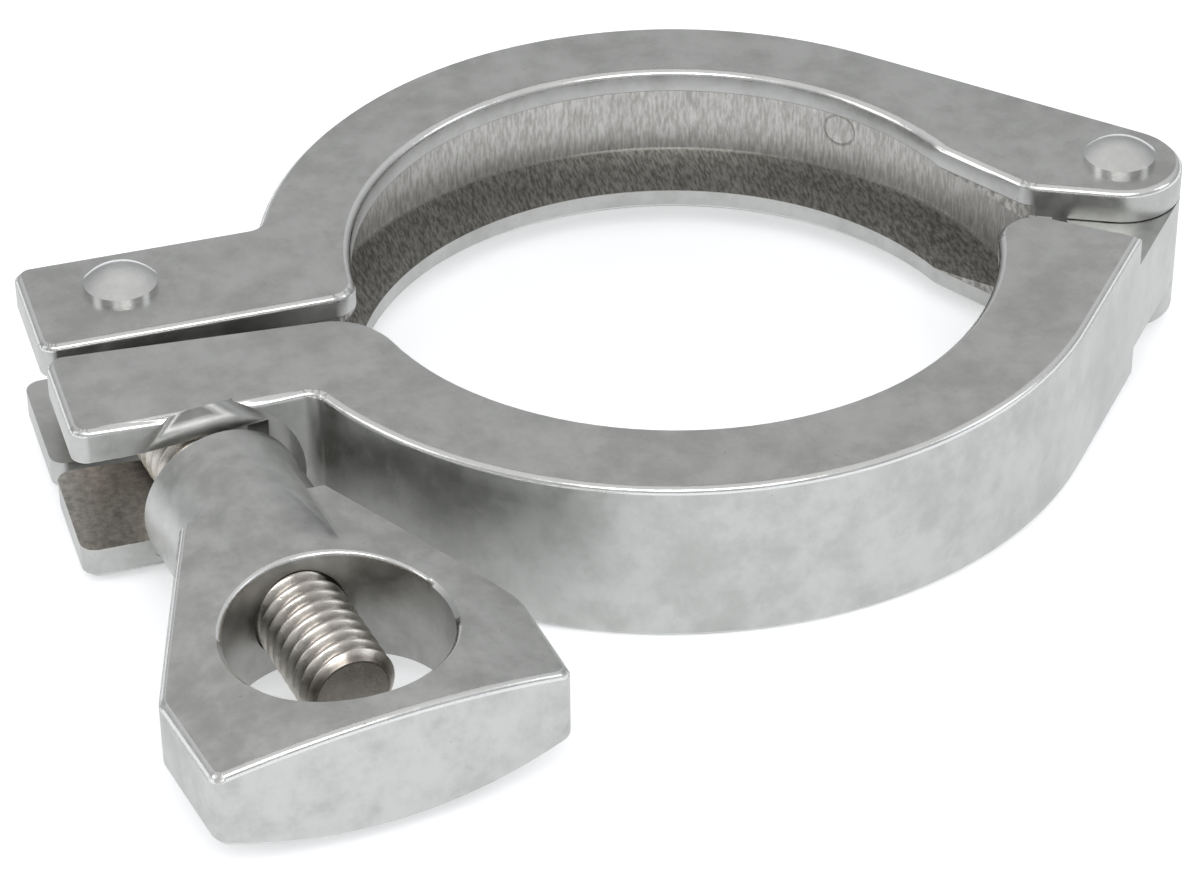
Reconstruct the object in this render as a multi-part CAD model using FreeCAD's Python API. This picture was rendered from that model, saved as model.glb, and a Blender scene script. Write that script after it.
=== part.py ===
import FreeCAD, Part
import math
import os

# Hinged pipe clamp, millimetres. The pipe runs along Z through the origin, the clamp's
# mid plane is z = 0, the hinge is at +X and the fork with the eye bolt and wing nut at -X.

# Ring and groove, for ferrule flanges of 64 mm
lip_radius = 29.0
lip_thickness = 2.2
groove_depth = 5.0
groove_mouth = 11.2
groove_angle = 20.0
rear_wall = 3.5
front_wall = 3.9
front_outer_shift = 1.4
edge_break = 0.6

# Hinge: two lobes on the rear jaw, one tongue on the front jaw, one rivet
hinge_from_groove = 9.0
lobe_radius = 5.8
lobe_thickness = 3.2
tongue_clearance = 0.1
web_clearance = 1.9
web_angle = -27.0
shoulder_clearance = 5.7
shoulder_angle = 50.5
shoulder_inner_round = 3.5
lobe_start_angle = 14.0
lobe_corner_from_pin = 9.8
lobe_corner_drop = 1.6
lobe_corner_round = 3.0
tongue_root_depth = 6.0
hinge_pin_radius = 2.4

# Eye bolt, leaning a little towards the ring as it lies
pivot_from_groove = 14.8
pivot_from_split = 7.6
bolt_lean = 8.0
bolt_radius = 4.0
bolt_length = 52.4
bolt_end_chamfer = 0.8
eye_radius = 6.6
eye_thickness = 7.6
bolt_pin_radius = 2.4

# Fork arms that take the bolt
tip_beyond_eye = 2.1
rear_arm_depth = 13.3
front_arm_depth = 13.3
arm_tip_gap = 1.0
arm_root_gap = 3.1
slot_clearance = 0.6
rear_slot_margin = 0.7
front_slot_margin = 1.5
tip_round = 1.5
rear_inner_round = 2.5
front_inner_round = 6.0
arm_corner_round = 1.5
seat_depth = 0.8
seat_clearance = 1.2

# Rivets
head_radius = 3.3
head_rim = 0.6
head_dome = 1.2
rivet_fit = 0.01
pivot_clearance = 0.05

# Wing nut, measured along its axis from the end that faces the fork
nut_stand_off = 2.1
barrel_radius = 7.0
barrel_end_break = 1.0
thread_clearance = 0.1
flare_start = 9.6
flare_sink = 0.2
wing_length = 39.0
wing_side_length = 10.9
wing_bow = 1.2
wing_width = 31.4
wing_front_width = 30.6
wing_middle_thickness = 11.2
wing_edge_thickness = 6.6
flat_start = 8.1
flat_to_window = 1.5
window_radius = 9.4
window_wall = 2.1
window_break = 0.4
shoulder_round = 2.5
wing_corner_round = 1.3
wing_break = 0.6

# How far a cutter runs past the face it starts from
cut_past = 1.0

half_height = groove_mouth / 2 + lip_thickness
groove_radius = lip_radius + groove_depth
rear_outer_radius = groove_radius + rear_wall
front_outer_radius = groove_radius + front_wall + front_outer_shift
hinge = (groove_radius + hinge_from_groove, 0.0)
web_to_pin = lobe_radius + web_clearance
shoulder_to_pin = lobe_radius + shoulder_clearance
lobe_gap_half = half_height - lobe_thickness
bolt_pivot = (-groove_radius - pivot_from_groove, pivot_from_split)
arm_tip_x = bolt_pivot[0] - eye_radius - tip_beyond_eye
slot_half = bolt_radius + slot_clearance
lean = math.radians(bolt_lean)
seat_start = (pivot_from_split + front_arm_depth) / math.cos(lean) - seat_depth
nut_start = seat_start + nut_stand_off
shoulder_at = wing_length - wing_side_length
window_at = wing_length - window_wall - window_radius
flat_meets_wing = window_at - window_radius - flat_to_window
barrel_end = window_at - window_radius / 2
far = 2 * abs(arm_tip_x)
UP = FreeCAD.Vector(0, 0, 1)
ALONG = FreeCAD.Vector(1, 0, 0)


def point(xy, z=0.0):
    return FreeCAD.Vector(xy[0], xy[1], z)


def polar(centre, radius, degrees):
    turn = math.radians(degrees)
    return (centre[0] + radius * math.cos(turn), centre[1] + radius * math.sin(turn))


def prism(corners, low, high):
    """A straight prism over a polygon of (x, y) corners."""
    ring = [point(xy, low) for xy in corners]
    face = Part.Face(Part.makePolygon(ring + ring[:1]))
    return face.extrude(FreeCAD.Vector(0, 0, high - low))


def post(centre, radius, low, high):
    """An upright cylinder."""
    return Part.makeCylinder(radius, high - low, point(centre, low), UP)


def outer_tangent(big_centre, big_radius, small_centre, small_radius, side):
    """Ends of the line that touches both circles, on the +1 or -1 side of their centre line."""
    run_x = small_centre[0] - big_centre[0]
    run_y = small_centre[1] - big_centre[1]
    spread = math.acos((big_radius - small_radius) / math.hypot(run_x, run_y))
    degrees = math.degrees(math.atan2(run_y, run_x) + side * spread)
    return polar(big_centre, big_radius, degrees), polar(small_centre, small_radius, degrees)


def tangent_from(start, centre, radius, side):
    """The point where a line from start touches the circle."""
    run_x = centre[0] - start[0]
    run_y = centre[1] - start[1]
    reach = math.hypot(run_x, run_y)
    turn = math.atan2(run_y, run_x) + side * math.asin(radius / reach)
    return polar(start, math.sqrt(reach**2 - radius**2), math.degrees(turn))


def line_on_circle(start, degrees, radius):
    """The first point at this distance from the pipe axis, going from start in a direction."""
    along_x, along_y = polar((0, 0), 1, degrees)
    inward = -(start[0] * along_x + start[1] * along_y)
    reach = inward - math.sqrt(inward**2 - (start[0]**2 + start[1]**2 - radius**2))
    return polar(start, reach, degrees)


def round_uprights(solid, corners_and_radii):
    """Round the upright edge that stands nearest to each of the given plan corners."""
    for corner, radius in corners_and_radii:
        uprights = [edge for edge in solid.Edges if edge.BoundBox.ZLength > edge.Length - 0.001]
        nearest = min(uprights, key=lambda edge: edge.CenterOfMass.distanceToPoint(point(corner)))
        solid = solid.makeFillet(radius, [nearest])
    return solid


def break_rims(solid):
    """Bevel every edge that lies in the top or bottom face."""
    edges = []
    for edge in solid.Edges:
        box = edge.BoundBox
        if box.ZLength < 0.001 and abs(abs(box.ZMin) - half_height) < 0.001:
            edges.append(edge)
    return solid.makeChamfer(edge_break, edges)


def groove_cutter():
    """The trapezoid groove that grips the two ferrule flanges."""
    slope = math.tan(math.radians(groove_angle))
    mouth = groove_mouth / 2
    root = mouth - (groove_radius - lip_radius) * slope
    inner = lip_radius - cut_past
    mouth_inside = mouth + (lip_radius - inner) * slope
    corners = [(inner, -mouth_inside), (groove_radius, -root), (groove_radius, root), (inner, mouth_inside)]
    ring = [FreeCAD.Vector(r, 0, z) for r, z in corners]
    face = Part.Face(Part.makePolygon(ring + ring[:1]))
    return face.revolve(FreeCAD.Vector(0, 0, 0), UP, 360)


def bore_cutter():
    return post((0, 0), lip_radius, -half_height - cut_past, half_height + cut_past)


def pin_cutter(centre, radius):
    return post(centre, radius, -half_height - cut_past, half_height + cut_past)


def half_plane(through, normal_degrees, low, high):
    """A large block on the far side of a line, seen from the side its normal points away from."""
    near_a = polar(through, far, normal_degrees + 90)
    near_b = polar(through, far, normal_degrees - 90)
    far_a = polar(near_a, far, normal_degrees)
    far_b = polar(near_b, far, normal_degrees)
    return prism([near_a, near_b, far_b, far_a], low, high)


def slot_cutter(root_x, low_y, high_y):
    """The slot of a fork, open at the arm's tip and through both its long sides."""
    tip = arm_tip_x - cut_past
    back, front = low_y - cut_past, high_y + cut_past
    return prism([(tip, back), (root_x, back), (root_x, front), (tip, front)], -slot_half, slot_half)


def rear_jaw():
    low, high = -half_height, half_height
    lobe_start = polar((0, 0), lip_radius, lobe_start_angle)
    lobe_corner = (hinge[0] - lobe_corner_from_pin, -lobe_corner_drop)
    ring_touch, lobe_touch = outer_tangent((0, 0), rear_outer_radius, hinge, lobe_radius, 1)
    lobe_foot = tangent_from(lobe_corner, hinge, lobe_radius, -1)
    front_of_split = [(-far, 0), (0, 0), lobe_start, lobe_corner]
    front_of_split += [(far, lobe_corner[1]), (far, -far), (-far, -far)]
    ring = post((0, 0), rear_outer_radius, low, high).cut(prism(front_of_split, low, high))
    hinge_plate = prism([ring_touch, lobe_touch, hinge, lobe_foot, lobe_corner, lobe_start], low, high)
    lobe = post(hinge, lobe_radius, low, high)
    arm_tip = (arm_tip_x, 0)
    arm_back_tip = (arm_tip_x, rear_arm_depth)
    arm_root = (-lip_radius, 0)
    arm = prism([arm_tip, arm_root, (-lip_radius, rear_arm_depth), arm_back_tip], low, high)
    solid = ring.fuse([hinge_plate, lobe, arm]).cut(bore_cutter()).removeSplitter()
    arm_corner = (-math.sqrt(rear_outer_radius**2 - rear_arm_depth**2), rear_arm_depth)
    solid = round_uprights(solid, [
        (arm_tip, tip_round),
        (arm_back_tip, tip_round),
        (arm_corner, arm_corner_round),
        (arm_root, rear_inner_round),
        (lobe_corner, lobe_corner_round),
    ])
    solid = break_rims(solid)
    web_face = polar(hinge, web_to_pin, 180 + web_angle)
    slot_root_x = bolt_pivot[0] + eye_radius + rear_slot_margin
    return solid.cut([
        groove_cutter(),
        half_plane(web_face, web_angle, -lobe_gap_half, lobe_gap_half),
        slot_cutter(slot_root_x, 0, rear_arm_depth),
        pin_cutter(hinge, hinge_pin_radius + rivet_fit),
        pin_cutter(bolt_pivot, bolt_pin_radius + rivet_fit),
    ])


def front_jaw():
    low, high = -half_height, half_height
    centre = (0, front_outer_shift)
    face_y = -front_arm_depth
    ring_touch, tongue_touch = outer_tangent(centre, front_outer_radius, hinge, lobe_radius, -1)
    arm_tip = (arm_tip_x, -arm_tip_gap)
    split_slope = (arm_tip_gap - arm_root_gap) / (-lip_radius - arm_tip_x)
    split_middle = (0, lip_radius * split_slope - arm_root_gap)
    arm_root_x = -math.sqrt(lip_radius**2 - arm_root_gap**2)
    arm_root = (arm_root_x, (arm_root_x + lip_radius) * split_slope - arm_root_gap)
    arm_front_tip = (arm_tip_x, face_y)
    arm_corner = (-math.sqrt(front_outer_radius**2 - (face_y - front_outer_shift)**2), face_y)
    shoulder_face = polar(hinge, shoulder_to_pin, 180 + shoulder_angle)
    inner_corner = line_on_circle(shoulder_face, shoulder_angle + 90, lip_radius)
    ring = post(centre, front_outer_radius, low, high)
    plate = prism([ring_touch, tongue_touch, hinge, (0, 0)], low, high)
    arm = prism([arm_tip, split_middle, (0, face_y), arm_front_tip], low, high)
    behind_split = [arm_tip, split_middle, (0, far), (-far, far), (-far, -arm_tip_gap)]
    solid = ring.fuse([plate, arm]).cut([
        prism(behind_split, low, high),
        half_plane(shoulder_face, shoulder_angle, low, high),
        bore_cutter(),
    ]).removeSplitter()
    solid = round_uprights(solid, [
        (arm_tip, tip_round),
        (arm_front_tip, tip_round),
        (arm_root, front_inner_round),
        (inner_corner, shoulder_inner_round),
        (arm_corner, arm_corner_round),
    ])
    solid = break_rims(solid)
    tongue_half = lobe_gap_half - tongue_clearance
    tongue_inner = tangent_from(shoulder_face, hinge, lobe_radius, 1)
    tongue_root = polar(shoulder_face, tongue_root_depth, 180 + shoulder_angle)
    tongue_corners = [ring_touch, tongue_touch, hinge, tongue_inner, shoulder_face, tongue_root]
    tongue = prism(tongue_corners, -tongue_half, tongue_half)
    tongue_end = post(hinge, lobe_radius, -tongue_half, tongue_half)
    shank_side_x = bolt_pivot[0] + (pivot_from_split - face_y) * math.tan(lean) + bolt_radius / math.cos(lean)
    seat = Part.makeCylinder(barrel_radius + seat_clearance, far, ALONG * seat_start, ALONG)
    return solid.fuse([tongue, tongue_end]).cut([
        groove_cutter(),
        slot_cutter(shank_side_x + front_slot_margin, face_y, -arm_tip_gap),
        along_bolt(seat),
        pin_cutter(hinge, hinge_pin_radius + pivot_clearance),
    ]).removeSplitter()


def along_bolt(shape):
    """Place a shape drawn with the bolt's axis along +X from its pivot."""
    turn = FreeCAD.Rotation(UP, bolt_lean - 90)
    return shape.transformed(FreeCAD.Placement(point(bolt_pivot), turn).toMatrix())


def rivet(centre, pin_radius):
    """A pin through both lobes, with a low rim and a dome on each end."""
    dome_radius = (head_radius**2 + head_dome**2) / (2 * head_dome)
    rim = half_height + head_rim
    ball = Part.makeSphere(dome_radius, point(centre, rim + head_dome - dome_radius))
    head = post(centre, head_radius, half_height, rim)
    dome = ball.common(post(centre, head_radius, rim, rim + dome_radius))
    upper = post(centre, pin_radius, 0, half_height).fuse([head, dome])
    lower = upper.mirror(FreeCAD.Vector(0, 0, 0), UP)
    return upper.fuse(lower).removeSplitter()


def eye_bolt():
    eye = post((0, 0), eye_radius, -eye_thickness / 2, eye_thickness / 2)
    shank = Part.makeCylinder(bolt_radius, bolt_length, FreeCAD.Vector(0, 0, 0), ALONG)
    end_rim = max(shank.Edges, key=lambda edge: edge.CenterOfMass.x)
    shank = shank.makeChamfer(bolt_end_chamfer, [end_rim])
    hole = pin_cutter((0, 0), bolt_pin_radius + pivot_clearance)
    return along_bolt(eye.fuse(shank).cut(hole).removeSplitter())


def lens_section():
    """The wing's section across the bolt: thick in the middle, thin at both tips."""
    half = wing_width / 2
    middle = wing_middle_thickness / 2
    tip = wing_edge_thickness / 2
    right_low, right_high = FreeCAD.Vector(0, half, -tip), FreeCAD.Vector(0, half, tip)
    left_low, left_high = FreeCAD.Vector(0, -half, -tip), FreeCAD.Vector(0, -half, tip)
    outline = [
        Part.Arc(left_high, FreeCAD.Vector(0, 0, middle), right_high),
        Part.LineSegment(right_high, right_low),
        Part.Arc(right_low, FreeCAD.Vector(0, 0, -middle), left_low),
        Part.LineSegment(left_low, left_high),
    ]
    return Part.Face(Part.Wire([curve.toShape() for curve in outline]))


def wing_blank():
    """The wing's plan outline cut out of its lens section, with its outer edges bevelled."""
    half = wing_width / 2
    front_half = wing_front_width / 2
    root = barrel_radius - flare_sink
    left_root, right_root = point((flare_start, -root)), point((flare_start, root))
    left_shoulder, right_shoulder = point((shoulder_at, -half)), point((shoulder_at, half))
    left_end, right_end = point((wing_length, -front_half)), point((wing_length, front_half))
    outline = [
        Part.LineSegment(left_root, left_shoulder),
        Part.LineSegment(left_shoulder, left_end),
        Part.Arc(left_end, point((wing_length + wing_bow, 0)), right_end),
        Part.LineSegment(right_end, right_shoulder),
        Part.LineSegment(right_shoulder, right_root),
        Part.LineSegment(right_root, left_root),
    ]
    plan = Part.Face(Part.Wire([curve.toShape() for curve in outline]))
    plan.translate(UP * -wing_middle_thickness)
    plate = round_uprights(plan.extrude(UP * 2 * wing_middle_thickness), [
        ((shoulder_at, -half), shoulder_round),
        ((shoulder_at, half), shoulder_round),
        ((wing_length, -front_half), wing_corner_round),
        ((wing_length, front_half), wing_corner_round),
    ])
    wing = plate.common(lens_section().extrude(ALONG * far))
    rim = []
    for edge in wing.Edges:
        upright = edge.BoundBox.ZLength > edge.Length - 0.001
        if not upright and edge.BoundBox.XMax > 2 * flare_start:
            rim.append(edge)
    return wing.makeChamfer(wing_break, rim)


def barrel_blank():
    """The round barrel, with its seat end bevelled and two flats that run down to the wing."""
    barrel = Part.makeCylinder(barrel_radius, barrel_end, FreeCAD.Vector(0, 0, 0), ALONG)
    seat_rim = min(barrel.Edges, key=lambda edge: edge.CenterOfMass.x)
    barrel = barrel.makeChamfer(barrel_end_break, [seat_rim])
    slope = (barrel_radius - wing_middle_thickness / 2) / (flat_meets_wing - flat_start)
    low_end = barrel_radius - slope * (barrel_end - flat_start)
    corners = [
        FreeCAD.Vector(flat_start, -barrel_radius, barrel_radius),
        FreeCAD.Vector(barrel_end, -barrel_radius, low_end),
        FreeCAD.Vector(barrel_end, -barrel_radius, barrel_radius),
    ]
    wedge = Part.Face(Part.makePolygon(corners + corners[:1]))
    wedge = wedge.extrude(FreeCAD.Vector(0, 2 * barrel_radius, 0))
    return barrel.cut([wedge, wedge.mirror(FreeCAD.Vector(0, 0, 0), UP)])


def wing_nut():
    nut = wing_blank().fuse(barrel_blank()).removeSplitter()
    nut = nut.cut(post((window_at, 0), window_radius, -barrel_radius, barrel_radius))
    window_rims = []
    for edge in nut.Edges:
        box = edge.BoundBox
        if abs(box.Center.x - window_at) < 0.1 and box.XLength < 2.5 * window_radius:
            window_rims.append(edge)
    nut = nut.makeChamfer(window_break, window_rims)
    start = FreeCAD.Vector(0, 0, 0)
    nut = nut.cut(Part.makeCylinder(bolt_radius + thread_clearance, window_at, start, ALONG))
    nut.translate(ALONG * nut_start)
    return along_bolt(nut)


def main():
    os.makedirs("parts", exist_ok=True)
    pieces = {
        "rear_jaw": rear_jaw(),
        "front_jaw": front_jaw(),
        "hinge_rivet": rivet(hinge, hinge_pin_radius),
        "bolt_rivet": rivet(bolt_pivot, bolt_pin_radius),
        "eye_bolt": eye_bolt(),
        "wing_nut": wing_nut(),
    }
    for name, shape in pieces.items():
        print(name, "solids", len(shape.Solids), "valid", shape.isValid(), "volume", round(shape.Volume, 1))
        shape.exportStep("parts/" + name + ".step")


main()
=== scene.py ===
import math

import bmesh
import bpy
import numpy as np
from mathutils import Matrix, Vector

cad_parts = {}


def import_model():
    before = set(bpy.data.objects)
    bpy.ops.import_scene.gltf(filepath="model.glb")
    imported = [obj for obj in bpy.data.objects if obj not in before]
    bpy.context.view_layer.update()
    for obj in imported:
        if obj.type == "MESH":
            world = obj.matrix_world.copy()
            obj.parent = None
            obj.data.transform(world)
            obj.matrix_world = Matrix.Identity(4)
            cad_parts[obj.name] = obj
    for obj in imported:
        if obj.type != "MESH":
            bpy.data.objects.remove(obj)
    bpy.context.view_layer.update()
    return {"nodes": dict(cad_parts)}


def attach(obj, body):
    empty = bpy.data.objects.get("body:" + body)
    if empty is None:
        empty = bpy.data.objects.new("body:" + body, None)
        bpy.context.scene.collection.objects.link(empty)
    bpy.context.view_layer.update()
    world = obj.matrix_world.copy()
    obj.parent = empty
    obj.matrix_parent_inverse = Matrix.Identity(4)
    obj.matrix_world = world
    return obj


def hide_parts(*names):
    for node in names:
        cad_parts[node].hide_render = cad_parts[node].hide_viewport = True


MM = 0.001

# Places shared with the solids, in millimetres
PIVOT = np.array([-48.8, 7.6, 0.0])
LEAN = math.radians(8.0)
ALONG = np.array([math.sin(LEAN), -math.cos(LEAN), 0.0])
ACROSS = np.array([math.cos(LEAN), math.sin(LEAN), 0.0])
HALF_HEIGHT = 7.8
RIVET_FOOT = 9.6

# Thread of the bolt
THREAD_START = 12.0
THREAD_END = 52.4
THREAD_RADIUS = 4.0
THREAD_PITCH = 1.41
THREAD_DEPTH = 0.66

# Angles between faces: one plane, a bevel's crease, and too sharp to shade smoothly
FLAT = math.radians(0.4)
CREASE = math.radians(25)
SHARP = math.radians(50)

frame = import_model()


# Shader helpers

def math_node(tree, operation, first, second=None, clamp=False):
    node = tree.nodes.new("ShaderNodeMath")
    node.operation = operation
    node.use_clamp = clamp
    for socket, value in zip(node.inputs, (first, second)):
        if value is None:
            continue
        if isinstance(value, bpy.types.NodeSocket):
            tree.links.new(value, socket)
        else:
            socket.default_value = value
    return node.outputs[0]


def ramp(tree, value, low, high, to_low=0.0, to_high=1.0):
    """A smooth step of value from low to high, put out between to_low and to_high."""
    node = tree.nodes.new("ShaderNodeMapRange")
    node.interpolation_type = "SMOOTHSTEP"
    tree.links.new(value, node.inputs["Value"])
    node.inputs["From Min"].default_value = low
    node.inputs["From Max"].default_value = high
    node.inputs["To Min"].default_value = to_low
    node.inputs["To Max"].default_value = to_high
    return node.outputs["Result"]


def blend_colors(tree, mask, first, second):
    node = tree.nodes.new("ShaderNodeMix")
    node.data_type = "RGBA"
    for socket, value in ((node.inputs[0], mask), (node.inputs[6], first), (node.inputs[7], second)):
        if isinstance(value, bpy.types.NodeSocket):
            tree.links.new(value, socket)
        else:
            socket.default_value = value
    return node.outputs[2]


def noise(tree, coords, scale, detail=2.0, roughness=0.5):
    node = tree.nodes.new("ShaderNodeTexNoise")
    node.inputs["Scale"].default_value = scale
    node.inputs["Detail"].default_value = detail
    node.inputs["Roughness"].default_value = roughness
    tree.links.new(coords, node.inputs["Vector"])
    return node.outputs["Fac"]


def stretched(tree, coords, scale, turn=(0.0, 0.0, 0.0)):
    """The coordinates turned and scaled, so that a noise on them becomes streaks."""
    node = tree.nodes.new("ShaderNodeMapping")
    node.inputs["Rotation"].default_value = turn
    node.inputs["Scale"].default_value = scale
    tree.links.new(coords, node.inputs["Vector"])
    return node.outputs["Vector"]


def new_group(name, inputs, outputs):
    group = bpy.data.node_groups.new(name, "ShaderNodeTree")
    for label, kind, value in inputs:
        socket = group.interface.new_socket(name=label, in_out="INPUT", socket_type=kind)
        if value is not None:
            socket.default_value = value
    for label, kind in outputs:
        group.interface.new_socket(name=label, in_out="OUTPUT", socket_type=kind)
    return group, group.nodes.new("NodeGroupInput"), group.nodes.new("NodeGroupOutput")


def object_coords(tree):
    return tree.nodes.new("ShaderNodeTexCoord").outputs["Object"]


def tumbled_steel_group():
    """Cast steel after tumbling: cloudy tone, fine matt grain, small pits, a few dings and painted edge
    highlights.
    """
    group, inside, out = new_group(
        "tumbled steel",
        [("Light", "NodeSocketColor", (0.62, 0.62, 0.60, 1)),
         ("Dark", "NodeSocketColor", (0.42, 0.42, 0.40, 1)),
         ("Base Roughness", "NodeSocketFloat", 0.34), ("Grain", "NodeSocketFloat", 1.0),
         ("Edge", "NodeSocketFloat", 0.0)],
        [("Color", "NodeSocketColor"), ("Roughness", "NodeSocketFloat"), ("Height", "NodeSocketFloat")])
    coords = object_coords(group)
    clouds = noise(group, coords, 120.0, 4.0, 0.62)
    stains = noise(group, coords, 420.0, 5.0, 0.7)
    grain = noise(group, coords, 5200.0, 3.0, 0.6)
    dings = noise(group, stretched(group, coords, (1.0, 1.0, 1.6), (0.4, 0.2, 0.9)), 1500.0, 2.0, 0.5)
    pits = group.nodes.new("ShaderNodeTexVoronoi")
    pits.inputs["Scale"].default_value = 1150.0
    group.links.new(coords, pits.inputs["Vector"])
    pit = ramp(group, pits.outputs["Distance"], 0.05, 0.16, 1.0, 0.0)
    rare = ramp(group, noise(group, coords, 260.0, 2.0), 0.56, 0.66)
    pit = math_node(group, "MULTIPLY", pit, rare)
    tone = math_node(group, "ADD", math_node(group, "MULTIPLY", clouds, 0.55),
                     math_node(group, "MULTIPLY", stains, 0.45))
    tone = ramp(group, tone, 0.36, 0.62)
    plain = blend_colors(group, tone, inside.outputs["Dark"], inside.outputs["Light"])
    # Painted highlight: the bevelled strips given as Edge are lightened toward a pale grey. The lower
    # roughness set on them below is their smoother finish.
    painted_edge_highlight = math_node(group, "MULTIPLY", inside.outputs["Edge"], 0.75, clamp=True)
    bright = blend_colors(group, painted_edge_highlight, plain, (0.86, 0.86, 0.85, 1))
    color = blend_colors(group, math_node(group, "MULTIPLY", pit, 0.35), bright, (0.22, 0.22, 0.21, 1))
    cloudy = ramp(group, stains, 0.3, 0.7, -0.05, 0.07)
    rough = math_node(group, "ADD", inside.outputs["Base Roughness"], cloudy)
    rough = math_node(group, "SUBTRACT", rough, math_node(group, "MULTIPLY", inside.outputs["Edge"], 0.12))
    height = math_node(group, "ADD", math_node(group, "MULTIPLY", grain, 0.35),
                       math_node(group, "MULTIPLY", dings, 0.8))
    height = math_node(group, "MULTIPLY", height, inside.outputs["Grain"])
    height = math_node(group, "SUBTRACT", height, math_node(group, "MULTIPLY", pit, 0.9))
    group.links.new(color, out.inputs["Color"])
    group.links.new(rough, out.inputs["Roughness"])
    group.links.new(height, out.inputs["Height"])
    return group


def groove_finish_group():
    """Marks of the groove: a brushed root wall and rough, scratched flanks, as masks and a height."""
    group, _, out = new_group(
        "groove finish", [],
        [("Wall", "NodeSocketFloat"), ("Flank", "NodeSocketFloat"), ("Streaks", "NodeSocketFloat"),
         ("Height", "NodeSocketFloat")])
    coords = object_coords(group)
    parts = group.nodes.new("ShaderNodeSeparateXYZ")
    group.links.new(coords, parts.inputs[0])
    flat = group.nodes.new("ShaderNodeCombineXYZ")
    group.links.new(parts.outputs["X"], flat.inputs["X"])
    group.links.new(parts.outputs["Y"], flat.inputs["Y"])
    length = group.nodes.new("ShaderNodeVectorMath")
    length.operation = "LENGTH"
    group.links.new(flat.outputs[0], length.inputs[0])
    radius = length.outputs["Value"]
    level = math_node(group, "ABSOLUTE", parts.outputs["Z"])
    inner = ramp(group, radius, 34.15 * MM, 34.25 * MM, 1.0, 0.0)
    low = ramp(group, level, 5.55 * MM, 5.70 * MM, 1.0, 0.0)
    inside_groove = math_node(group, "MULTIPLY", inner, low)
    wall = math_node(group, "MULTIPLY", inside_groove, ramp(group, radius, 33.6 * MM, 33.9 * MM))
    flank = math_node(group, "SUBTRACT", inside_groove, wall, clamp=True)
    across = noise(group, stretched(group, coords, (3600.0, 3600.0, 700.0), (0.0, 0.35, 0.0)), 1.0, 4.0, 0.65)
    slant = stretched(group, coords, (4200.0, 1100.0, 1100.0), (0.0, 0.5, 0.75))
    slanted = noise(group, slant, 1.0, 4.0, 0.65)
    blasted = noise(group, coords, 4200.0, 3.0, 0.65)
    streaks = math_node(group, "ADD", math_node(group, "MULTIPLY", wall, across),
                        math_node(group, "MULTIPLY", flank, slanted))
    wall_height = math_node(group, "MULTIPLY", wall, math_node(group, "MULTIPLY", across, 0.7))
    rough_flank = math_node(group, "ADD", math_node(group, "MULTIPLY", slanted, 1.1),
                            math_node(group, "MULTIPLY", blasted, 1.6))
    height = math_node(group, "ADD", wall_height, math_node(group, "MULTIPLY", flank, rough_flank))
    for name, value in (("Wall", wall), ("Flank", flank), ("Streaks", streaks), ("Height", height)):
        group.links.new(value, out.inputs[name])
    return group


def round_mark_group():
    """The faint ring that an ejector pin leaves: a shallow round groove about a centre."""
    group, inside, out = new_group(
        "ejector mark", [("Centre", "NodeSocketVector", None), ("Radius", "NodeSocketFloat", 0.001)],
        [("Mask", "NodeSocketFloat")])
    coords = object_coords(group)
    gap = group.nodes.new("ShaderNodeVectorMath")
    gap.operation = "DISTANCE"
    group.links.new(coords, gap.inputs[0])
    group.links.new(inside.outputs["Centre"], gap.inputs[1])
    off = math_node(group, "SUBTRACT", gap.outputs["Value"], inside.outputs["Radius"])
    off = math_node(group, "ABSOLUTE", off)
    group.links.new(ramp(group, off, 0.05 * MM, 0.16 * MM, 1.0, 0.0), out.inputs["Mask"])
    return group


TUMBLED = tumbled_steel_group()
GROOVE = groove_finish_group()
MARK = round_mark_group()


def use_group(tree, group, **inputs):
    node = tree.nodes.new("ShaderNodeGroup")
    node.node_tree = group
    for name, value in inputs.items():
        socket = node.inputs[name.replace("_", " ")]
        if isinstance(value, bpy.types.NodeSocket):
            tree.links.new(value, socket)
        else:
            socket.default_value = value
    return node


def steel(name):
    """A new material, its node tree and its Principled shader, set to plain metal."""
    material = bpy.data.materials.new(name)
    material.use_nodes = True
    tree = material.node_tree
    shader = tree.nodes["Principled BSDF"]
    shader.inputs["Metallic"].default_value = 1.0
    return material, tree, shader


def bump(tree, shader, height, distance):
    node = tree.nodes.new("ShaderNodeBump")
    node.inputs["Strength"].default_value = 1.0
    node.inputs["Distance"].default_value = distance
    tree.links.new(height, node.inputs["Height"])
    tree.links.new(node.outputs["Normal"], shader.inputs["Normal"])


def edge_mask(tree):
    """The bevelled strips, as the mesh's own attribute."""
    node = tree.nodes.new("ShaderNodeAttribute")
    node.attribute_name = "edge"
    return node.outputs["Fac"]


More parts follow.
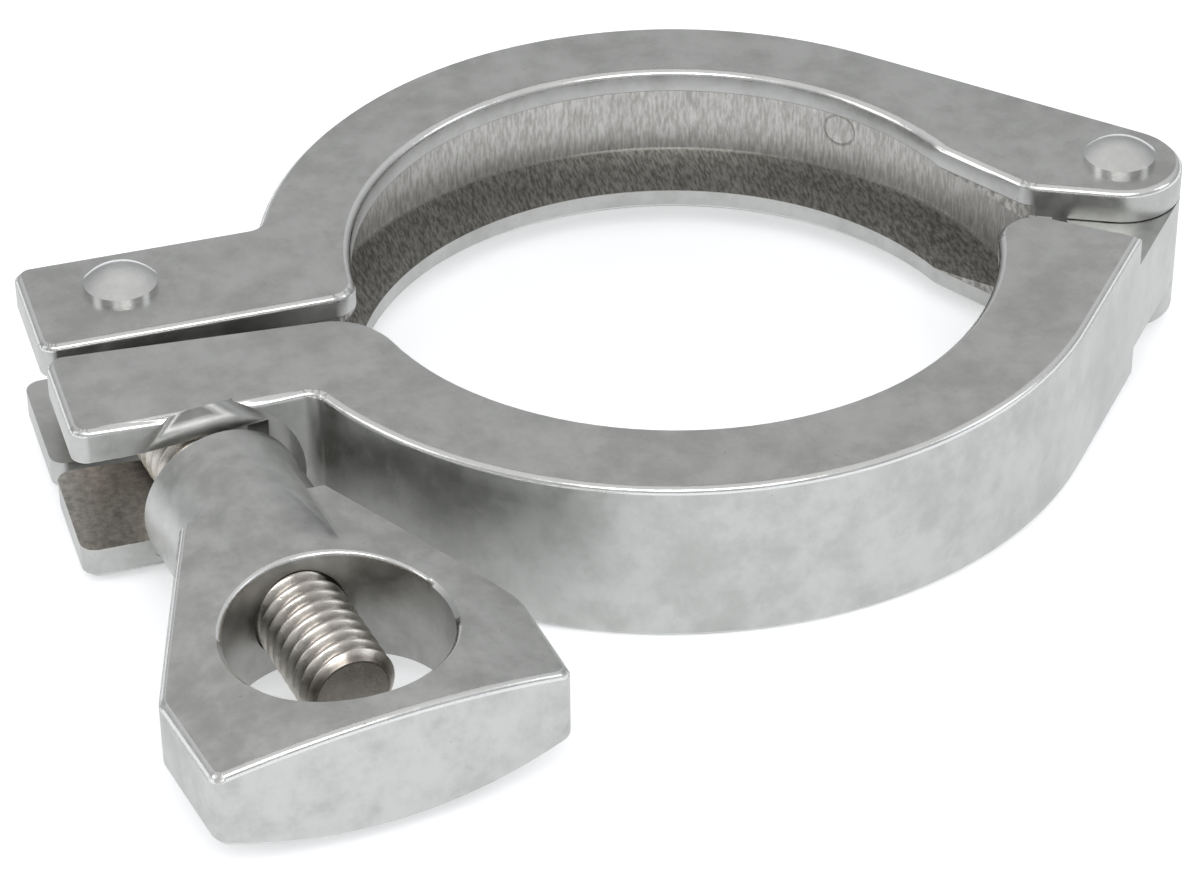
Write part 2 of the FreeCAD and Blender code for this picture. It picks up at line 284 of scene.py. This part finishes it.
def jaw_steel(name, marks=(), slot_floor=None):
    material, tree, shader = steel(name)
    body = use_group(tree, TUMBLED, Light=(0.60, 0.605, 0.59, 1), Dark=(0.47, 0.475, 0.46, 1),
                     Base_Roughness=0.33, Grain=1.0, Edge=edge_mask(tree))
    groove = use_group(tree, GROOVE)
    wall_tone = blend_colors(tree, ramp(tree, groove.outputs["Streaks"], 0.35, 0.65),
                             (0.44, 0.43, 0.41, 1), (0.66, 0.65, 0.63, 1))
    flank_tone = blend_colors(tree, ramp(tree, groove.outputs["Streaks"], 0.35, 0.65),
                              (0.22, 0.215, 0.20, 1), (0.50, 0.49, 0.47, 1))
    color = blend_colors(tree, groove.outputs["Wall"], body.outputs["Color"], wall_tone)
    color = blend_colors(tree, groove.outputs["Flank"], color, flank_tone)
    height = math_node(tree, "ADD", body.outputs["Height"], groove.outputs["Height"])
    for centre, radius in marks:
        mark = use_group(tree, MARK, Centre=[value * MM for value in centre], Radius=radius * MM)
        height = math_node(tree, "SUBTRACT", height, math_node(tree, "MULTIPLY", mark.outputs["Mask"], 2.5))
        color = blend_colors(tree, math_node(tree, "MULTIPLY", mark.outputs["Mask"], 0.4), color,
                             (0.2, 0.19, 0.18, 1))
    # Painted light: the slot's floor, an upward face lit from above, is painted pale and warm. The cast noise
    # that varies its tone and height is its own rough as-cast texture.
    if slot_floor is not None:
        coords = object_coords(tree)
        parts = tree.nodes.new("ShaderNodeSeparateXYZ")
        tree.links.new(coords, parts.inputs[0])
        near = math_node(tree, "ABSOLUTE", math_node(tree, "SUBTRACT", math_node(
            tree, "ABSOLUTE", parts.outputs["Z"]), slot_floor * MM))
        floor = math_node(tree, "MULTIPLY", ramp(tree, near, 0.02 * MM, 0.08 * MM, 1.0, 0.0),
                          ramp(tree, parts.outputs["X"], -40.4 * MM, -40.0 * MM, 1.0, 0.0))
        cast = noise(tree, coords, 1300.0, 4.0, 0.7)
        color = blend_colors(tree, floor, color, blend_colors(
            tree, ramp(tree, cast, 0.3, 0.7), (0.52, 0.50, 0.46, 1), (0.86, 0.83, 0.78, 1)))
        height = math_node(tree, "ADD", height, math_node(tree, "MULTIPLY", floor,
                                                         math_node(tree, "MULTIPLY", cast, 2.0)))
    rough = math_node(tree, "ADD", body.outputs["Roughness"],
                      math_node(tree, "MULTIPLY", groove.outputs["Flank"], 0.06))
    tree.links.new(color, shader.inputs["Base Color"])
    tree.links.new(rough, shader.inputs["Roughness"])
    bump(tree, shader, height, 0.010 * MM)
    return material


def nut_steel():
    material, tree, shader = steel("nut_steel")
    body = use_group(tree, TUMBLED, Light=(0.62, 0.625, 0.61, 1), Dark=(0.46, 0.465, 0.45, 1),
                     Base_Roughness=0.36, Grain=1.2, Edge=edge_mask(tree))
    tree.links.new(body.outputs["Color"], shader.inputs["Base Color"])
    tree.links.new(body.outputs["Roughness"], shader.inputs["Roughness"])
    bump(tree, shader, body.outputs["Height"], 0.012 * MM)
    return material


def rivet_steel():
    material, tree, shader = steel("rivet_steel")
    body = use_group(tree, TUMBLED, Light=(0.80, 0.80, 0.79, 1), Dark=(0.68, 0.68, 0.67, 1),
                     Base_Roughness=0.13, Grain=0.5, Edge=edge_mask(tree))
    tree.links.new(body.outputs["Color"], shader.inputs["Base Color"])
    tree.links.new(body.outputs["Roughness"], shader.inputs["Roughness"])
    bump(tree, shader, body.outputs["Height"], 0.010 * MM)
    return material


def bolt_steel():
    """Rolled thread: warm crests painted bright and roots painted dark, as painted highlight and painted
    shade, with fine streaks that run round the bolt.
    """
    material, tree, shader = steel("bolt_steel")
    coords = object_coords(tree)
    crest = tree.nodes.new("ShaderNodeAttribute")
    crest.attribute_name = "crest"
    streaks = noise(tree, stretched(tree, coords, (700.0, 3800.0, 700.0), (0.0, 0.0, LEAN)), 1.0, 3.0, 0.6)
    body = use_group(tree, TUMBLED, Light=(0.66, 0.63, 0.58, 1), Dark=(0.50, 0.47, 0.43, 1),
                     Base_Roughness=0.27, Grain=0.8, Edge=0.0)
    tone = math_node(tree, "ADD", math_node(tree, "MULTIPLY", crest.outputs["Fac"], 0.75),
                     math_node(tree, "MULTIPLY", streaks, 0.3))
    # Painted shade in the thread's roots and painted highlight on its crests, following the crest attribute.
    # The streaks mixed in are the bolt's own marks.
    color = blend_colors(tree, ramp(tree, tone, 0.15, 0.75), (0.26, 0.235, 0.21, 1), body.outputs["Color"])
    tree.links.new(color, shader.inputs["Base Color"])
    tree.links.new(body.outputs["Roughness"], shader.inputs["Roughness"])
    bump(tree, shader, math_node(tree, "ADD", body.outputs["Height"], streaks), 0.012 * MM)
    return material


# Pieces

def about_line(point, direction, radius):
    """A round surface about a line: how far a place is off it, and the surface's normal there."""
    point, direction = Vector(point), Vector(direction).normalized()

    def measure(place):
        arm = place - point
        arm = arm - direction * arm.dot(direction)
        return abs(arm.length - radius), arm.normalized()
    return measure


def nut_surfaces():
    """The wing nut's barrel and the two bowed faces of its wing."""
    barrel_radius, bow_radius, bow_depth = 7.0, 54.7, 5.6
    faces = [about_line(PIVOT * MM, ALONG, barrel_radius * MM)]
    for side in (1, -1):
        axis_place = PIVOT + np.array([0.0, 0.0, side * (bow_depth - bow_radius)])
        faces.append(about_line(axis_place * MM, ALONG, bow_radius * MM))
    return faces


def patches(work, surfaces):
    """The patch that each face belongs to, the corner normals of faces on a round surface, and each patch's
    area. A patch is the faces on one of the surfaces, or else faces that lie side by side in one plane."""
    work.normal_update()
    work.faces.index_update()
    patch = {}
    exact = {}
    for face in work.faces:
        for number, surface in enumerate(surfaces):
            readings = [surface(loop.vert.co) for loop in face.loops]
            middle = surface(face.calc_center_median())[1].dot(face.normal)
            if max(off for off, _ in readings) < 0.012 * MM and abs(middle) > 0.97:
                exact[face.index] = [normal * math.copysign(1.0, middle) for _, normal in readings]
                patch[face.index] = ("surface", number)
    for start in work.faces:
        if start.index in patch:
            continue
        waiting = [start]
        patch[start.index] = start.index
        while waiting:
            for edge in waiting.pop().edges:
                for other in edge.link_faces:
                    if other.index not in patch and other.normal.angle(start.normal, 1.0) < FLAT:
                        patch[other.index] = start.index
                        waiting.append(other)
    area = {}
    for face in work.faces:
        area[patch[face.index]] = area.get(patch[face.index], 0.0) + face.calc_area()
    return patch, exact, area


def mark_bevels(work, patch, area):
    """Puts 1 in the edge attribute of tilted patches that are narrower than 1 mm and bent to a neighbour."""
    longest, creased = {}, set()
    for face in work.faces:
        own = patch[face.index]
        for edge in face.edges:
            longest[own] = max(longest.get(own, 0.0), edge.calc_length())
            if len(edge.link_faces) == 2 and CREASE < edge.calc_face_angle(0.0) < SHARP:
                creased.add(own)
    layer = work.loops.layers.float.new("edge")
    for face in work.faces:
        own = patch[face.index]
        bevel = own in creased and isinstance(own, int) and abs(face.normal.z) > 0.2
        bevel = bevel and area[own] / longest[own] < 1.0 * MM
        for loop in face.loops:
            loop[layer] = 1.0 if bevel else 0.0


def even_normals(work, patch, exact, area):
    """A normal for each face corner, in the order of the mesh's loops. Each face counts by the area of its
    whole patch, so flat patches and the round surfaces keep their own normals, and the bevels between them
    look round."""
    normals = {}
    for vert in work.verts:
        corners = {loop.face.index: loop for loop in vert.link_loops}
        while corners:
            fan = [corners.pop(next(iter(corners)))]
            for loop in fan:
                for edge in loop.face.edges:
                    if edge.smooth and vert in edge.verts:
                        fan += [corners.pop(face.index) for face in edge.link_faces if face.index in corners]
            total = Vector((0.0, 0.0, 0.0))
            for loop in fan:
                own = loop.face.normal
                if loop.face.index in exact:
                    own = exact[loop.face.index][list(loop.face.loops).index(loop)]
                total += own * (area[patch[loop.face.index]] * loop.calc_angle())
            for loop in fan:
                normals[(loop.face.index, vert.index)] = total.normalized()
    return [normals[(face.index, loop.vert.index)] for face in work.faces for loop in face.loops]


def dressed(name, body, material, surfaces=(), cut=None):
    """A merged, smooth-shaded copy of a solid that takes its place. cut is a point and a normal: what lies
    beyond that plane is left out."""
    mesh = frame["nodes"][name].data.copy()
    mesh.name = name + "_skin"
    mesh.materials.clear()
    work = bmesh.new()
    work.from_mesh(mesh)
    bmesh.ops.remove_doubles(work, verts=work.verts, dist=0.001 * MM)
    if cut is not None:
        point, normal = cut
        geometry = list(work.verts) + list(work.edges) + list(work.faces)
        bmesh.ops.bisect_plane(work, geom=geometry, dist=1e-8, plane_co=point, plane_no=normal,
                               clear_outer=True)
    for edge in work.edges:
        edge.smooth = len(edge.link_faces) == 2 and edge.calc_face_angle(0.0) < SHARP
    for face in work.faces:
        face.smooth = True
    patch, exact, area = patches(work, surfaces)
    mark_bevels(work, patch, area)
    normals = even_normals(work, patch, exact, area)
    work.to_mesh(mesh)
    work.free()
    mesh.normals_split_custom_set(normals)
    mesh.materials.append(material)
    piece = bpy.data.objects.new(name + "_skin", mesh)
    bpy.context.scene.collection.objects.link(piece)
    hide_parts(name)
    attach(piece, body)


def grid_mesh(name, points, closed_v=False):
    """A mesh from a (rows, columns, 3) array of points in millimetres. closed_v joins the last column to the
    first."""
    rows, columns, _ = points.shape
    index = np.arange(rows * columns).reshape(rows, columns)
    right = np.roll(index, -1, axis=1) if closed_v else index[:, 1:]
    left = index if closed_v else index[:, :-1]
    faces = np.stack([left[:-1], right[:-1], right[1:], left[1:]], axis=-1).reshape(-1, 4)
    mesh = bpy.data.meshes.new(name)
    mesh.from_pydata((points.reshape(-1, 3) * MM).tolist(), [], faces.tolist())
    mesh.polygons.foreach_set("use_smooth", np.ones(len(faces), bool))
    return mesh


def bolt_thread(body, material):
    """The threaded shank. At distance s along the bolt and angle t about it, the radius is the thread's
    radius less a depth that is a rounded triangle wave of s / pitch - t / turn. The depth fades to nothing
    where the thread starts, a cone bevels the free end, and the last rows close the end face."""
    turns, rows = 72, 620
    s = np.linspace(THREAD_START, THREAD_END, rows)[:, None]
    t = np.linspace(0, 2 * np.pi, turns, endpoint=False)[None, :]
    phase = (s / THREAD_PITCH - t / (2 * np.pi)) % 1.0
    wave = np.abs(2 * phase - 1)
    wave = wave * wave * (3 - 2 * wave)
    run_out = np.clip((s - THREAD_START) / 3.0, 0, 1)
    radius = THREAD_RADIUS - THREAD_DEPTH * wave * run_out
    end_bevel = 0.85
    cone = THREAD_RADIUS - end_bevel + (THREAD_END - s)
    radius = np.minimum(radius, cone)
    crest = np.clip(1 - (THREAD_RADIUS - radius) / THREAD_DEPTH, 0, 1)
    centre = PIVOT[None, None, :] + s[:, :, None] * ALONG
    ring = np.cos(t)[:, :, None] * ACROSS + np.sin(t)[:, :, None] * np.array([0.0, 0.0, 1.0])
    points = centre + radius[:, :, None] * ring
    last = points[-1:]
    middle = (PIVOT + THREAD_END * ALONG)[None, None, :]
    cap = [last * (1 - share) + middle * share for share in (0.04, 0.5, 0.999)]
    points = np.concatenate([points] + cap, axis=0)
    crest = np.concatenate([crest] + [crest[-1:] * 0 + 0.25] * 3, axis=0)
    mesh = grid_mesh("bolt_thread", points, closed_v=True)
    mesh.flip_normals()
    attribute = mesh.attributes.new("crest", "FLOAT", "POINT")
    attribute.data.foreach_set("value", crest.reshape(-1).astype(np.float32))
    mesh.materials.append(material)
    piece = bpy.data.objects.new("bolt_thread", mesh)
    bpy.context.scene.collection.objects.link(piece)
    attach(piece, body)


def rear_jaw():
    material = jaw_steel("rear_jaw_steel", marks=[((24.4, 23.6, 0.6), 1.6)])
    dressed("rear_jaw", "rear_jaw", material)


def front_jaw():
    material = jaw_steel("front_jaw_steel", slot_floor=4.6)
    dressed("front_jaw", "front_jaw", material)


def eye_bolt():
    material = bolt_steel()
    stop = Vector((PIVOT + (THREAD_START + 0.3) * ALONG) * MM)
    dressed("eye_bolt", "eye_bolt", material, cut=(stop, Vector(ALONG)))
    bolt_thread("eye_bolt", material)


# Stage, camera and lights

def floor_plane():
    """The surface under the clamp: it touches both lower rivet heads and the front jaw's lower edge."""
    rear_left = np.array([PIVOT[0], PIVOT[1], -RIVET_FOOT])
    rear_right = np.array([43.0, 0.0, -RIVET_FOOT])
    front = np.array([0.0, -37.3, -HALF_HEIGHT])
    normal = np.cross(front - rear_left, rear_right - rear_left)
    normal /= np.linalg.norm(normal)
    if normal[2] < 0:
        normal = -normal
    return rear_right, normal


def floor():
    """A wide flat sheet on that plane. Its height is worked out from the plane at each corner."""
    foot, normal = floor_plane()
    reach = 4000.0
    x, y = np.meshgrid(np.linspace(-reach, reach, 3), np.linspace(-reach, reach, 3), indexing="ij")
    z = foot[2] - ((x - foot[0]) * normal[0] + (y - foot[1]) * normal[1]) / normal[2]
    mesh = grid_mesh("floor", np.stack([x, y, z], axis=-1))
    if mesh.polygons[0].normal.z < 0:
        mesh.flip_normals()
    material = bpy.data.materials.new("pale_floor")
    material.use_nodes = True
    tree = material.node_tree
    shader = tree.nodes["Principled BSDF"]
    shader.inputs["Base Color"].default_value = (0.86, 0.87, 0.89, 1)
    shader.inputs["Roughness"].default_value = 0.85
    path = tree.nodes.new("ShaderNodeLightPath")
    glow = tree.nodes.new("ShaderNodeEmission")
    glow.inputs["Color"].default_value = (1.0, 1.0, 1.0, 1)
    seen = math_node(tree, "ADD", math_node(tree, "MULTIPLY", path.outputs["Is Camera Ray"], 0.42),
                     math_node(tree, "MULTIPLY", path.outputs["Is Glossy Ray"], 0.25))
    tree.links.new(seen, glow.inputs["Strength"])
    both = tree.nodes.new("ShaderNodeAddShader")
    tree.links.new(shader.outputs[0], both.inputs[0])
    tree.links.new(glow.outputs[0], both.inputs[1])
    tree.links.new(both.outputs[0], tree.nodes["Material Output"].inputs["Surface"])
    mesh.materials.append(material)
    sheet = bpy.data.objects.new("floor", mesh)
    bpy.context.scene.collection.objects.link(sheet)


def camera():
    """The photograph's camera, found from the outlines of the clamp."""
    azimuth, elevation, roll = math.radians(16.92), math.radians(35.72), math.radians(-0.56)
    target = Vector((-9.59, -5.91, -HALF_HEIGHT))
    forward = Vector((math.sin(azimuth) * math.cos(elevation), math.cos(azimuth) * math.cos(elevation),
                      -math.sin(elevation)))
    place = target - forward * 375.9
    right = forward.cross(Vector((0, 0, 1))).normalized()
    up = right.cross(forward)
    right_rolled = math.cos(roll) * right + math.sin(roll) * up
    up_rolled = math.cos(roll) * up - math.sin(roll) * right
    data = bpy.data.cameras.new("camera")
    data.lens = 4178.3 / 1186 * 36.0
    data.sensor_width = 36.0
    data.clip_start = 0.01
    data.clip_end = 20.0
    eye = bpy.data.objects.new("camera", data)
    bpy.context.scene.collection.objects.link(eye)
    turn = Matrix((right_rolled, up_rolled, -forward)).transposed().to_4x4()
    eye.matrix_world = Matrix.Translation(place * MM) @ turn
    bpy.context.scene.camera = eye


def softbox(name, place, aim, size, energy, color=(1.0, 1.0, 1.0)):
    data = bpy.data.lights.new(name, "AREA")
    data.shape = "RECTANGLE"
    data.size, data.size_y = size
    data.energy = energy
    data.color = color
    lamp = bpy.data.objects.new(name, data)
    bpy.context.scene.collection.objects.link(lamp)
    lamp.location = place
    lamp.rotation_euler = (Vector(aim) - Vector(place)).to_track_quat("-Z", "Y").to_euler()


def lights():
    softbox("front_top", (-0.15, -0.60, 0.75), (0.0, -0.02, 0.0), (0.70, 0.35), 3.2)
    softbox("left_fill", (-0.90, 0.05, 0.45), (0.0, 0.0, 0.0), (0.40, 0.60), 1.0)
    softbox("right_fill", (0.80, -0.30, 0.45), (0.0, 0.0, 0.0), (0.35, 0.50), 0.7, (0.93, 0.96, 1.0))


def world():
    """White to the camera. In reflections it is a studio, paler overhead and greyer near the ground."""
    scene_world = bpy.data.worlds.new("studio")
    bpy.context.scene.world = scene_world
    scene_world.use_nodes = True
    tree = scene_world.node_tree
    background = tree.nodes["Background"]
    coords = tree.nodes.new("ShaderNodeTexCoord")
    parts = tree.nodes.new("ShaderNodeSeparateXYZ")
    tree.links.new(coords.outputs["Generated"], parts.inputs[0])
    upward = ramp(tree, parts.outputs["Z"], 0.05, 0.95)
    studio = blend_colors(tree, upward, (0.40, 0.41, 0.42, 1), (0.72, 0.72, 0.72, 1))
    path = tree.nodes.new("ShaderNodeLightPath")
    shown = blend_colors(tree, path.outputs["Is Camera Ray"], studio, (1, 1, 1, 1))
    tree.links.new(shown, background.inputs["Color"])
    background.inputs["Strength"].default_value = 1.0


def main():
    rear_jaw()
    front_jaw()
    polished = rivet_steel()
    dressed("hinge_rivet", "rear_jaw", polished)
    dressed("bolt_rivet", "rear_jaw", polished)
    eye_bolt()
    dressed("wing_nut", "wing_nut", nut_steel(), surfaces=nut_surfaces())
    floor()
    camera()
    lights()
    world()
    bpy.context.scene.view_settings.view_transform = "Standard"


main()
